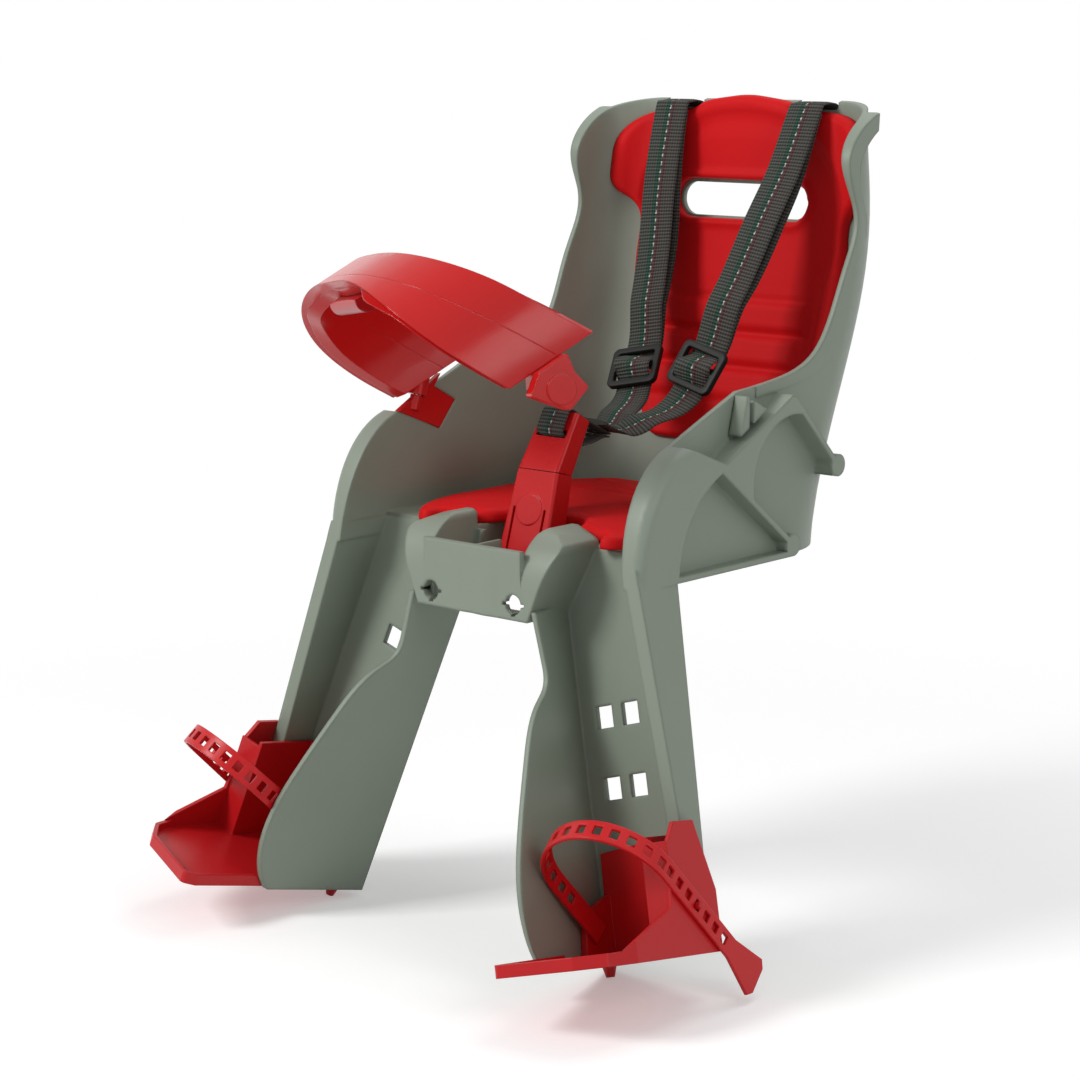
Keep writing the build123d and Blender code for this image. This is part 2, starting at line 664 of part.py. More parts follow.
def bar_latch_plug():
    """Neck and tongue under the bar's free end, with a thumb boss on the outside."""
    slope = tan(radians(BAR_SLOPE))
    front = (74, BAR_Z + (74 - BAR_Y) * slope - GAP / 2)
    rear = (94, BAR_Z + (94 - BAR_Y) * slope - GAP / 2)
    tongue = outline((67, 358), (93, 347), (107, 361), (98, 371.5), rear, front)
    neck = outline((74, 361.5), (98, 371.5), rear, front)
    inside = SEAT_HALF + 9
    plug = side_slab(fillet(tongue.vertices().sort_by(Axis.Y)[0:3], 2), inside, FLANGE_OUT)
    plug += side_slab(neck, BAR_SPAN - BAR_THICK + 2, inside + 1)
    return plug + side_slab(Pos(88, 361) * Circle(10), FLANGE_OUT - 1, FLANGE_OUT + 1.6)


def bar_hinge_plate():
    """Plate that fills the right wall's notch and carries the pin's barrel."""
    plate = side_slab(notch_face(GAP), -SEAT_HALF - WALL, -SEAT_HALF)
    plate -= hinge_rod(KNUCKLE_R + 2 * GAP, BARREL_TOP, 40)
    plate += hinge_rod(BARREL_R, -12, BARREL_TOP)
    return plate - hinge_rod(PIN_R + PIN_RUN, -9, BARREL_TOP + 1)


def bar_latch_catch():
    """Catch for the plug in the pocket outside the left wall."""
    catch = outline((117, 351.5), (147, 367.5), (124, 379))
    arm = SEAT_HALF + WALL + 1
    solid = side_slab(catch, arm, FLANGE_OUT - 4)
    return solid - side_slab(Pos(129, 368) * Rectangle(5, 30), arm + 5, FLANGE_OUT)


def ear_face():
    """Outer face of the tray's ear in the leg's frame."""
    return LEG_HALF + LEG_EDGE + EAR_ROOM + EAR_WALL


def tray_outline():
    """Plan of the foot tray in the leg's frame, pointed at its inner front."""
    clear = 3 * GAP
    outer = LEG_HALF - 1
    wide = ear_face()
    plan = outline(
        (channel_face(-GAP) + clear, -GAP), (outer, -GAP), (outer, -34), (wide, -34), (wide, -96),
        (wide - 6, -118), (wide - 22, -133), (channel_face(-138) + 7, -146),
        (channel_face(-138) + clear, -138),
    )
    rounded = plan.vertices().sort_by(Axis.Y)[0:5]
    return fillet(rounded, 4)


def footrest():
    """Left foot tray with its back plate, outer ear, inner cheek, strap peg and nub."""
    outer = LEG_HALF - 1
    wide = ear_face()
    tray = extrude(tray_outline(), TRAY)
    lip = tray_outline() - offset(tray_outline(), -3)
    lip_keep = block(-30, wide + 5, -160, -60, 0, TRAY + 5)
    tray += extrude(lip, TRAY + 5) & lip_keep
    plate_face = outline((-38, 0), (outer, 0), (outer, EAR_TOP - 6), (-36, EAR_TOP - 14))
    plate = front_slab(plate_face, -GAP - WALL, -GAP)
    plate = fillet(plate.edges().filter_by(Axis.Y).group_by(Axis.Z)[-1], 6)
    ear = outline(
        (-8, 0), (-120, 0), (-120, 6), (-107, 9), (-56, 32), (-52, EAR_TOP - 12), (-44, EAR_TOP),
        (-24, EAR_TOP), (-8, 40),
    )
    ear_plate = side_slab(ear, wide - EAR_WALL, wide) & extrude(tray_outline() + Rectangle(200, 70), EAR_TOP)
    inner_ear = block(outer - EAR_WALL, outer, -54, -GAP, 0, EAR_TOP - 8)
    bridge = block(outer - EAR_WALL, wide, -54, -54 + EAR_WALL, 0, EAR_TOP - 12)
    cheek = side_slab(outline((-GAP, 0), (-36, 0), (-30, 34), (-GAP, 46)), CHEEK_X, CHEEK_X + CHEEK)
    peg = Pos(wide + 2.5, *STRAP_PEG) * Rot(0, 90, 0) * Cylinder(2.4, 7)
    nub = Pos(-33, -12, -NUB_DROP) * Cone(3, 6, NUB_DROP + 1, align=(Align.CENTER, Align.CENTER, Align.MIN))
    return leg_frame() * (tray + plate + ear_plate + inner_ear + bridge + cheek + peg + nub)


def foot_strap(tilt, spring, tail):
    """Ladder strap drawn on the left foot: over the foot, a hole on the peg, with a flared tail."""
    inner = CHEEK_X + CHEEK + GAP + STRAP_THICK / 2
    outer = ear_face() + GAP + STRAP_THICK / 2
    top = inner + LEG_TOE * (spring - STRAP_LOOP[0])
    radius = (outer - top) / 2
    middle = (outer + top) / 2
    flare = tail - 32
    half = STRAP_THICK / 2
    centre = Line((inner, -18), (top, spring))
    centre += ThreePointArc((top, spring), (middle, spring + radius), (outer, spring))
    centre += Line((outer, spring), (outer, tail))
    band = trace(centre, STRAP_THICK)
    strap = extrude(band, STRAP_WIDTH / 2, both=True)
    hole = Box(12, 6, 7)
    for step in range(int((spring - tail) / 11)):
        strap -= Pos(outer, spring - 1 - 11 * step, 0) * hole
    for step in range(int(spring / 22) + 1):
        strap -= Pos(top, spring - 3 - 11 * step, 0) * hole
    for i in range(12):
        angle = 10 + i * 14.5
        strap -= Pos(middle, spring, 0) * Rot(0, 0, angle) * Pos(radius, 0, 0) * hole
    fan = outline(
        (-STRAP_WIDTH / 2, tail + 1), (STRAP_WIDTH / 2, tail + 1), (STRAP_WIDTH, flare + 4),
        (STRAP_WIDTH - 5, flare), (5 - STRAP_WIDTH, flare), (-STRAP_WIDTH, flare + 4),
    )
    view = Plane(origin=(outer - half, 0, 0), x_dir=(0, 0, 1), z_dir=(-1, 0, 0))
    strap += extrude(view * fan, STRAP_THICK, dir=(1, 0, 0))
    tilt = radians(tilt)
    local = Plane(origin=(0, *STRAP_PEG), x_dir=(1, 0, 0), z_dir=(0, -cos(tilt), -sin(tilt)))
    return leg_frame() * (local * strap)


def mirrored(shape):
    """The piece for the child's right side."""
    return mirror(shape, Plane.YZ)


left_footrest = footrest()
left_foot_strap, right_foot_strap = map(foot_strap, STRAP_TILT, STRAP_LOOP, STRAP_TAIL)
PARTS = {
    "seat_shell": seat_shell(),
    "back_pad": back_pad(),
    "seat_pad": seat_pad(),
    "buckle_housing": buckle_housing(),
    "buckle_tongue": buckle_tongue(),
    "harness_loop": harness_loop(),
    "harness_strap_left": strap_band(STRAP_LEFT, WEB_WIDTH, WEB_THICK),
    "harness_strap_right": strap_band(STRAP_RIGHT, WEB_WIDTH, WEB_THICK),
    "strap_adjuster_left": adjuster(STRAP_LEFT, ADJUSTER_LEFT),
    "strap_adjuster_right": adjuster(STRAP_RIGHT, ADJUSTER_RIGHT),
    "strap_keeper_left": keeper(STRAP_LEFT[0][0]),
    "strap_keeper_right": keeper(STRAP_RIGHT[0][0]),
    "bar_upper_shell": swing_open(bar_upper_shell()),
    "bar_lower_shell": swing_open(bar_lower_shell()),
    "bar_grip": swing_open(bar_grip()),
    "bar_latch_plug": swing_open(bar_latch_plug()),
    "bar_hinge_plate": bar_hinge_plate(),
    "bar_hinge_pin": hinge_rod(PIN_R, -9, PIN_TOP),
    "bar_latch_catch": bar_latch_catch(),
    "footrest_left": left_footrest,
    "footrest_right": mirrored(left_footrest),
    "foot_strap_left": left_foot_strap,
    "foot_strap_right": mirrored(right_foot_strap),
}

os.makedirs("parts", exist_ok=True)
for name, shape in PARTS.items():
    export_step(Pos(0, 0, -MOUNT_Z) * shape, f"parts/{name}.step")
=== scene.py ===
import json
import math

import bmesh
import bpy
import numpy as np
from mathutils import Matrix, Vector
from mathutils.bvhtree import BVHTree
from mathutils.geometry import delaunay_2d_cdt


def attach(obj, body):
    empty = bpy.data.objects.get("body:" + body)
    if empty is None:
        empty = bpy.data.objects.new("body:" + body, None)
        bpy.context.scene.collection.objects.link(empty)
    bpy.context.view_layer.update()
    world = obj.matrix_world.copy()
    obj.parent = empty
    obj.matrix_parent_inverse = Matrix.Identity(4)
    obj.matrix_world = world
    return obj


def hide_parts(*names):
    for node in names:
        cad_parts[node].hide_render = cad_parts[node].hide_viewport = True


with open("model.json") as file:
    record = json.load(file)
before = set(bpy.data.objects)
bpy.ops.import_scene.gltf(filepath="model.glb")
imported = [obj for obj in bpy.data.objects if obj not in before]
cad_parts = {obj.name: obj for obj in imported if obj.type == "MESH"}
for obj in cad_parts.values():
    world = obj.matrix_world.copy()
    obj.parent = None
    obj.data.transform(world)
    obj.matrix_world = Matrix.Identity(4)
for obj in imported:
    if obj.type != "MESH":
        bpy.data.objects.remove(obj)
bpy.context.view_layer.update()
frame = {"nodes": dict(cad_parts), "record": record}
NODES = frame["nodes"]

# Heights in the part's drawing are measured from the floor, this far below the origin
FLOOR = 0.24
MM = 0.001


def row(x, y, z):
    """A drawing point in millimetres above the floor, as a point in the part's frame in metres."""
    return Vector((x, y, z)) * MM - Vector((0, 0, FLOOR))


# Materials: sizes in metres

BROAD = 14.0
SHELL_EDGE = 0.0035
FOAM_ROUGH = 0.6
FOAM_SPECULAR = 0.12
WEB_DARK = (0.085, 0.080, 0.072)
WEB_RIB = 0.0026
WEB_YARNS = 13
WEB_STITCH = 0.0062
EDGE = 0.0012
STEEL_ROUGH = 0.3
WEB_ROUGH = 0.8
WEB_SPECULAR = 0.15
STITCH_SHARE = 0.55


def shader(name, colour, rough, specular=0.5):
    """A principled material; returns it with its tree and shader node."""
    mat = bpy.data.materials.new(name)
    mat.use_nodes = True
    tree = mat.node_tree
    bsdf = tree.nodes["Principled BSDF"]
    bsdf.inputs["Base Color"].default_value = (*colour, 1)
    bsdf.inputs["Roughness"].default_value = rough
    bsdf.inputs["Specular IOR Level"].default_value = specular
    return mat, tree, bsdf


def add(tree, kind, **values):
    """A node with its settings and the values of its sockets."""
    node = tree.nodes.new(kind)
    for name, value in values.items():
        if hasattr(node, name):
            setattr(node, name, value)
        else:
            node.inputs[name.replace("_", " ")].default_value = value
    return node


def calc(tree, operation, *operands):
    """A math node on numbers and outputs; returns its output."""
    node = add(tree, "ShaderNodeMath", operation=operation)
    for socket, operand in zip(node.inputs, operands):
        if isinstance(operand, (int, float)):
            socket.default_value = operand
        else:
            tree.links.new(operand, socket)
    return node.outputs["Value"]


def grain(tree, bsdf, colour, size, depth, rough, spread, mottle, edge=EDGE):
    """Moulded grain: bump of that size and depth, roughness and colour that vary broadly, soft edges."""
    coords = add(tree, "ShaderNodeTexCoord")
    fine = add(tree, "ShaderNodeTexNoise", Scale=1 / size, Detail=2.0)
    broad = add(tree, "ShaderNodeTexNoise", Scale=BROAD, Detail=3.0)
    bump = add(tree, "ShaderNodeBump", Strength=0.5, Distance=depth)
    gloss = add(tree, "ShaderNodeMapRange", To_Min=rough - spread, To_Max=rough + spread)
    tint = add(tree, "ShaderNodeMix", data_type="RGBA")
    tint.inputs[6].default_value = (*[c * (1 - mottle) for c in colour], 1)
    tint.inputs[7].default_value = (*[c * (1 + mottle) for c in colour], 1)
    tree.links.new(coords.outputs["Object"], fine.inputs["Vector"])
    tree.links.new(coords.outputs["Object"], broad.inputs["Vector"])
    tree.links.new(fine.outputs["Fac"], bump.inputs["Height"])
    rounding = add(tree, "ShaderNodeBevel", samples=6, Radius=edge)
    tree.links.new(rounding.outputs["Normal"], bump.inputs["Normal"])
    tree.links.new(bump.outputs["Normal"], bsdf.inputs["Normal"])
    tree.links.new(broad.outputs["Fac"], gloss.inputs["Value"])
    tree.links.new(gloss.outputs["Result"], bsdf.inputs["Roughness"])
    tree.links.new(broad.outputs["Fac"], tint.inputs["Factor"])
    tree.links.new(tint.outputs[2], bsdf.inputs["Base Color"])


def plastic(name, colour, rough, specular=0.5, size=0.0008, depth=0.00006, edge=EDGE):
    mat, tree, bsdf = shader(name, colour, rough, specular)
    grain(tree, bsdf, colour, size, depth, rough, 0.05, 0.06, edge)
    return mat


def foam(name, colour):
    mat, tree, bsdf = shader(name, colour, FOAM_ROUGH, FOAM_SPECULAR)
    grain(tree, bsdf, colour, 0.0007, 0.00010, FOAM_ROUGH, 0.06, 0.05)
    return mat


def steel(name, colour):
    mat, tree, bsdf = shader(name, colour, STEEL_ROUGH)
    bsdf.inputs["Metallic"].default_value = 1.0
    grain(tree, bsdf, colour, 0.0005, 0.00002, STEEL_ROUGH, 0.08, 0.05)
    return mat


def webbing(name):
    """Ribbed webbing by its UVs, across from 0 to 1 and along in metres: yarns and a stitched middle, with
    painted shade in the rib hollows and painted highlight on the rib crests.
    """
    mat, tree, bsdf = shader(name, WEB_DARK, WEB_ROUGH, WEB_SPECULAR)
    uv = add(tree, "ShaderNodeUVMap")
    split = add(tree, "ShaderNodeSeparateXYZ")
    tree.links.new(uv.outputs["UV"], split.inputs["Vector"])
    across = split.outputs["X"]
    along = split.outputs["Y"]
    rib = calc(tree, "SINE", calc(tree, "MULTIPLY", along, 2 * math.pi / WEB_RIB))
    yarn = calc(tree, "SINE", calc(tree, "MULTIPLY", across, 2 * math.pi * WEB_YARNS))
    weave = calc(tree, "ADD", rib, calc(tree, "MULTIPLY", yarn, 0.5))
    bump = add(tree, "ShaderNodeBump", Strength=0.6, Distance=0.0003)
    tree.links.new(weave, bump.inputs["Height"])
    tree.links.new(bump.outputs["Normal"], bsdf.inputs["Normal"])

    def band(middle, half):
        return calc(tree, "LESS_THAN", calc(tree, "ABSOLUTE", calc(tree, "SUBTRACT", across, middle)), half)

    stitch = calc(tree, "FRACT", calc(tree, "MULTIPLY", along, 1 / WEB_STITCH))
    dash = calc(tree, "GREATER_THAN", stitch, STITCH_SHARE)
    layers = (
        (calc(tree, "LESS_THAN", across, 0.5), (0.078, 0.084, 0.074)),
        (band(0.41, 0.055), (0.032, 0.080, 0.058)),
        (band(0.58, 0.045), (0.100, 0.050, 0.050)),
        (calc(tree, "MULTIPLY", band(0.5, 0.018), dash), (0.6, 0.6, 0.56)),
    )
    colour = None
    for mask, tint in layers:
        mix = add(tree, "ShaderNodeMix", data_type="RGBA")
        tree.links.new(mask, mix.inputs["Factor"])
        mix.inputs[6].default_value = (*WEB_DARK, 1)
        mix.inputs[7].default_value = (*tint, 1)
        if colour:
            tree.links.new(colour, mix.inputs[6])
        colour = mix.outputs[2]
    # Painted shade and painted highlight: the colour is darkened in the rib hollows and lightened on the rib
    # crests, following the same wave as the bump.
    painted_rib_shade = add(tree, "ShaderNodeMapRange", From_Min=-1.5, From_Max=1.5, To_Min=0.2, To_Max=1.35)
    tree.links.new(weave, painted_rib_shade.inputs["Value"])
    final = add(tree, "ShaderNodeMix", data_type="RGBA", blend_type="MULTIPLY")
    final.inputs["Factor"].default_value = 1.0
    tree.links.new(colour, final.inputs[6])
    tree.links.new(painted_rib_shade.outputs["Result"], final.inputs[7])
    tree.links.new(final.outputs[2], bsdf.inputs["Base Color"])
    return mat


MATERIALS = {
    "shell_grey": plastic("shell_grey", (0.245, 0.287, 0.232), 0.42, 0.35, 0.0011, 0.00008, SHELL_EDGE),
    "pad_red": foam("pad_red", (0.63, 0.0065, 0.009)),
    "webbing": webbing("webbing"),
    "black_plastic": plastic("black_plastic", (0.010, 0.010, 0.009), 0.45, 0.2),
    "buckle_red": plastic("buckle_red", (0.56, 0.009, 0.011), 0.28, 0.25),
    "bar_red": plastic("bar_red", (0.55, 0.010, 0.010), 0.2, 0.28, 0.002, 0.00003),
    "grip_red": plastic("grip_red", (0.42, 0.008, 0.010), 0.3, 0.4),
    "pin_steel": steel("pin_steel", (0.6, 0.6, 0.6)),
    "foot_red": plastic("foot_red", (0.52, 0.009, 0.012), 0.36, 0.3),
    "strap_red": plastic("strap_red", (0.57, 0.009, 0.012), 0.34, 0.3),
}


def paint(obj, slot):
    obj.data.materials.clear()
    obj.data.materials.append(MATERIALS[slot])


SLOTS = {s["node"]: s["material_slot"] for s in frame["record"]["subparts"]}
for name, node in NODES.items():
    paint(node, SLOTS[name])


def link(obj):
    bpy.context.scene.collection.objects.link(obj)
    return obj


# Edges of the mouldings

WELD = 0.00002
SHARP = 35


def soften(obj, width):
    """Small rounded edges on a moulded piece."""
    weld = obj.modifiers.new("weld", "WELD")
    weld.merge_threshold = WELD
    bevel = obj.modifiers.new("edges", "BEVEL")
    bevel.width = width
    bevel.segments = 2
    bevel.limit_method = "ANGLE"
    bevel.angle_limit = math.radians(SHARP)
    bevel.harden_normals = False
    bevel.miter_outer = "MITER_ARC"
    normals = obj.modifiers.new("normals", "WEIGHTED_NORMAL")
    normals.weight = 60
    normals.keep_sharp = False


EDGES = {
    "seat_shell": 0.9, "buckle_housing": 0.9, "buckle_tongue": 0.9, "strap_adjuster_left": 0.9,
    "strap_adjuster_right": 0.9, "strap_keeper_left": 0.7, "strap_keeper_right": 0.7, "bar_upper_shell": 0.7,
    "bar_lower_shell": 0.7, "bar_grip": 1.0, "bar_latch_plug": 1.4, "bar_hinge_plate": 0.6,
    "bar_latch_catch": 0.8, "footrest_left": 0.8, "footrest_right": 0.8, "foot_strap_left": 0.4,
    "foot_strap_right": 0.4,
}
for name, width in EDGES.items():
    soften(NODES[name], width * MM)


# Webbing: sizes in millimetres, places as in the part's drawing

WEB = 30.0
WEB_THICK = 1.8
WEB_STEP = 0.5
RIB_HEIGHT = 0.26
COLUMNS = 7
BEND = ((316.9, 539.4), (316.9, 562.4), (311.4, 569.4), (298.0, 569.4), (292.0, 563.4))
BEND_X = 62.0
LEFT = tuple((BEND_X, y, z) for y, z in BEND) + (
    (61, 270, 523), (57, 248, 487), (50, 228, 445), (44, 209, 414), (38, 196, 385), (28, 179, 358),
    (17, 160, 345), (9, 148, 340), (5, 136, 342), (3, 123, 348),
)
RIGHT = tuple((-BEND_X, y, z) for y, z in BEND) + (
    (-61, 278, 511), (-57, 266, 459), (-49, 246, 415), (-40, 221, 378), (-30, 199, 355), (-18, 173, 342),
    (-9, 152, 340), (-5, 138, 344), (-3, 125, 350),
)
FRONT_BEND = 4
ADJUSTER_LEFT = 9
ADJUSTER_RIGHT = 8
ADJUSTER_DEPTH = 8.6
ADJUSTER_HALF = 17.0
WINDOW_HALF = 11.5
WINDOW_ROOM = 1.1
BULGE = 9.2
FINE = 40
# The layer behind is drawn a little narrower than the strap, so that its edges stay behind it
RETURN_WEB = 29.0
LAYER_GAP = 2.3
LAYER_SLACK = 7.0
TONGUE_LEAN = 31.0
TONGUE_FOOT = (76.64, 317.52)
LOOP_WIDTH = 24.0
LOOP = (
    (38, 48.4), (26, 47.6), (11, 46.2), (0, 46), (-9, 45.6), (-11.6, 43), (-11.7, 36), (-11.4, 29),
    (-9, 26.4), (0, 26), (10, 26.4), (22, 34), (32, 43), (38, 46.2),
)


def smooth(low, high, value):
    """0 below low, 1 above high, smooth between."""
    t = min(max((value - low) / (high - low), 0.0), 1.0)
    return t * t * (3 - 2 * t)


def route(points, step):
    """Even samples of a smooth line through the points, and the distance along it of each point."""
    path = [Vector(p) for p in points]
    ends = [2 * path[0] - path[1], *path, 2 * path[-1] - path[-2]]
    dense = []
    marks = []
    travelled = 0.0
    for a, b, c, d in zip(ends, ends[1:], ends[2:], ends[3:]):
        for i in range(FINE):
            t = i / FINE
            point = 0.5 * (
                2 * b + (c - a) * t + (2 * a - 5 * b + 4 * c - d) * t * t + (3 * b - a - 3 * c + d) * t ** 3
            )
            if dense:
                travelled += (point - dense[-1][1]).length
            if i == 0:
                marks.append(travelled)
            dense.append((travelled, point))
    dense.append((travelled + (path[-1] - dense[-1][1]).length, path[-1]))
    marks.append(dense[-1][0])
    samples = []
    j = 0
    for i in range(int(dense[-1][0] / step) + 1):
        while j < len(dense) - 2 and dense[j + 1][0] < i * step:
            j += 1
        (s0, p0), (s1, p1) = dense[j], dense[j + 1]
        samples.append(p0.lerp(p1, (i * step - s0) / max(s1 - s0, 1e-9)))
    return samples, marks


def frames(samples):
    """Direction across the band and out of its rear at each sample."""
    result = []
    for i in range(len(samples)):
        run = (samples[min(i + 1, len(samples) - 1)] - samples[max(i - 1, 0)]).normalized()
        across = (Vector((1, 0, 0)) - run * run.x).normalized()
        result.append((across, across.cross(run)))
    return result


def moved(samples, offset):
    """Samples pushed out of the band's rear by offset(distance along)."""
    pushed = zip(samples, frames(samples))
    return [p + f[1] * offset(i * WEB_STEP) for i, (p, f) in enumerate(pushed)]


def ribbon(name, samples, width, spread=None):
    """Closed flat band with woven ribs and UVs, across from 0 to 1 and along in metres; spread widens it."""
    bm = bmesh.new()
    uv = bm.loops.layers.uv.new("UVMap")
    rings = []
    along = 0.0
    for i, (point, (across, rear)) in enumerate(zip(samples, frames(samples))):
        if i:
            along += (point - samples[i - 1]).length
        half = width / 2 + (spread(i * WEB_STEP) if spread else 0)
        rib = RIB_HEIGHT * math.sin(2 * math.pi * along * MM / WEB_RIB)
        ring = []
        for side in (-1, 1):
            for k in range(COLUMNS):
                t = side * (1 - 2 * k / (COLUMNS - 1))
                thick = side * (WEB_THICK / 2 * (1 - 0.55 * t ** 6) + rib * (1 - t ** 8))
                corner = bm.verts.new(row(*(point - across * t * half + rear * thick)))
                ring.append((corner, (1 - t) / 2, along * MM))
        rings.append(ring)
    for before, after in zip(rings, rings[1:]):
        for k in range(len(before)):
            m = (k + 1) % len(before)
            corners = (before[k], before[m], after[m], after[k])
            face = bm.faces.new([c[0] for c in corners])
            face.smooth = True
            for loop, corner in zip(face.loops, corners):
                loop[uv].uv = corner[1:]
    for ring in (rings[0], rings[-1]):
        bm.faces.new([c[0] for c in ring])
    bmesh.ops.recalc_face_normals(bm, faces=bm.faces)
    mesh = bpy.data.meshes.new(name)
    bm.to_mesh(mesh)
    bm.free()
    obj = link(bpy.data.objects.new(name, mesh))
    paint(obj, "webbing")
    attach(obj, "seat")
    return obj, along * MM


def shoulder_strap(side, points, adjuster):
    """One shoulder strap from its keeper, threaded through its adjuster, with the return layer behind."""
    samples, marks = route(points, WEB_STEP)
    middle = marks[adjuster]

    def threading(s):
        away = abs(s - middle)
        behind = ADJUSTER_DEPTH * (1 - smooth(ADJUSTER_HALF + 2, ADJUSTER_HALF + 40, away))
        bulge = BULGE * math.cos(math.pi / 2 * min(away / WINDOW_HALF, 1.0)) ** 1.2
        return behind - bulge

    def filling(s):
        return WINDOW_ROOM * (1 - smooth(WINDOW_HALF - 4, WINDOW_HALF + 2, abs(s - middle)))

    threaded = moved(samples, threading)
    strap, length = ribbon("strap_" + side, threaded, WEB, filling)
    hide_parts("harness_strap_" + side)
    first = int(marks[FRONT_BEND] / WEB_STEP)
    last = int((middle - ADJUSTER_HALF + 6) / WEB_STEP)
    span = (last - first) * WEB_STEP

    def slack(s):
        return LAYER_GAP + LAYER_SLACK * math.sin(math.pi * min(s / span, 1.0)) ** 1.5

    under, length = ribbon("strap_return_" + side, moved(threaded[first:last], slack), RETURN_WEB)


shoulder_strap("left", LEFT, ADJUSTER_LEFT)
shoulder_strap("right", RIGHT, ADJUSTER_RIGHT)


def buckle_loop():
    """Webbing loop through the tongue's slot, back to where the straps join."""
    lean = math.radians(TONGUE_LEAN)
    points = []
    for depth, height in LOOP:
        y = TONGUE_FOOT[0] + depth * math.cos(lean) + height * math.sin(lean)
        z = TONGUE_FOOT[1] - depth * math.sin(lean) + height * math.cos(lean)
        points.append((0, y, z))
    samples, _ = route(points, WEB_STEP)
    loop, length = ribbon("buckle_loop", samples, LOOP_WIDTH)
    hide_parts("harness_loop")


buckle_loop()


# Foam pads: sizes in millimetres, places as in the part's drawing

PAD = 9.0
PAD_SEAT = 0.3
PAD_ROUND = 5.5
PAD_CROWN = 1.6
PAD_GRID = 2.1
PAD_RINGS = (0.5, 1.5, 3.2)
ROUND_STEPS = 8
TRIANGLES_INSIDE = 1
NORMAL_SPAN = 6.0
RAY_FROM = 120.0
RIM_Z = 566.0
SLOT_DETOURS = (0, -6, 6, -12, 12, -18, 18, -26, 26)
BACK_TOP = 310.0
PAN_Z = 278.0
HEAD_HALF = 97.0
HEAD_MIDDLE = 480.0
HEAD_RISE = 83.0
ARC_POWER = 2.2
WAIST = 14.0
PANEL_DEPTH = 3.4
CREASE = 1.1
LUMBAR_TOP = 424.0
LUMBAR_ROWS = 3
LUMBAR_PITCH = 25.5
LUMBAR_HALF = 74.0
LUMBAR_TAPER = 5.0
LUMBAR_HEIGHT = 2.2
SEAT_LINE = 176.0
SEAT_BAND = 14.0
SEAT_FLAT = 15.0
SEAT_SWEEP = 0.5
SEAT_GROOVE = 1.5
THIGH = (62.0, 125.0)
THIGH_REACH = (42.0, 58.0)
THIGH_DEPTH = 2.5
BACK_SLOT = (122.0, 29.0, 497.5)
BACK_HALF = [
    (58, 318), (95, 395), (99, 450), (96, 482), (104, 493), (120, 503), (116, 541), (105, 556),
    (84, 563), (47, 565), (40, 571), (0, 576),
]
BACK_ROUND = 12
SEAT_ROUND = 14
SEAT_HALF = [
    (30, 88), (44, 57), (77, 57), (79, 38), (93, 42), (106, 68), (113, 100), (111, 182), (73, 238),
]
shell = NODES["seat_shell"].data
SHELL = BVHTree.FromPolygons([v.co for v in shell.vertices], [p.vertices for p in shell.polygons])


def closed_line(points, radius):
    """Closed outline through corners rounded to about that radius, as even points."""
    corners = [np.array(p, float) for p in points]
    dense = []
    for before, corner, after in zip(corners[-1:] + corners[:-1], corners, corners[1:] + corners[:1]):
        reach = [min(radius, 0.48 * np.linalg.norm(p - corner)) for p in (before, after)]
        start = corner + (before - corner) / np.linalg.norm(before - corner) * reach[0]
        end = corner + (after - corner) / np.linalg.norm(after - corner) * reach[1]
        for t in np.linspace(0, 1, ROUND_STEPS):
            dense.append((1 - t) ** 2 * start + 2 * t * (1 - t) * corner + t * t * end)
    return even(np.array(dense))


def slot_line(width, height, middle):
    """Closed outline of a slot with round ends."""
    reach = (width - height) / 2
    angles = np.linspace(-math.pi / 2, math.pi / 2, ROUND_STEPS * 2)
    end = np.stack([reach + height / 2 * np.cos(angles), middle + height / 2 * np.sin(angles)], axis=1)
    other = end * (-1, -1) + (0, 2 * middle)
    return even(np.concatenate([end, other]))


def even(loop):
    """The closed loop at even steps of about the pad's grid."""
    whole = np.concatenate([loop, loop[:1]])
    along = np.concatenate([[0], np.cumsum(np.linalg.norm(np.diff(whole, axis=0), axis=1))])
    at = np.linspace(0, along[-1], int(along[-1] / PAD_GRID), endpoint=False)
    return np.stack([np.interp(at, along, whole[:, k]) for k in (0, 1)], axis=1)


def edge_distance(points, loops):
    """Distance of each point from the nearest edge, negative outside the first loop or inside another."""
    best = np.full(len(points), 1e9)
    inside = np.zeros(len(points), bool)
    for loop in loops:
        for a, b in zip(loop, np.roll(loop, -1, axis=0)):
            run = b - a
            t = np.clip(((points - a) @ run) / (run @ run), 0, 1)
            best = np.minimum(best, np.linalg.norm(points - a - t[:, None] * run, axis=1))
            crosses = (a[1] > points[:, 1]) != (b[1] > points[:, 1])
            level = np.where(crosses, a[0] + (points[:, 1] - a[1]) * run[0] / (run[1] or 1e-9), -1e9)
            inside ^= crosses & (points[:, 0] < level)
    return np.where(inside, best, -best)


def pad_points(loops):
    """Points over the pad: its edges, rings close inside them and an even grid."""
    rings = []
    for loop in loops:
        run = np.roll(loop, -1, axis=0) - np.roll(loop, 1, axis=0)
        inward = np.stack([-run[:, 1], run[:, 0]], axis=1) / np.linalg.norm(run, axis=1)[:, None]
        for depth in PAD_RINGS:
            for side in (-1, 1):
                ring = loop + side * inward * depth
                rings.append(ring[edge_distance(ring, loops) > 0.9 * depth])
    low, high = loops[0].min(axis=0), loops[0].max(axis=0)
    columns, rows = (np.arange(a, b, PAD_GRID) for a, b in zip(low, high))
    grid = np.stack(np.meshgrid(columns, rows), axis=-1).reshape(-1, 2)
    grid = grid[edge_distance(grid, loops) > PAD_RINGS[-1] + 0.6 * PAD_GRID]
    return np.concatenate([*loops, *rings, grid])


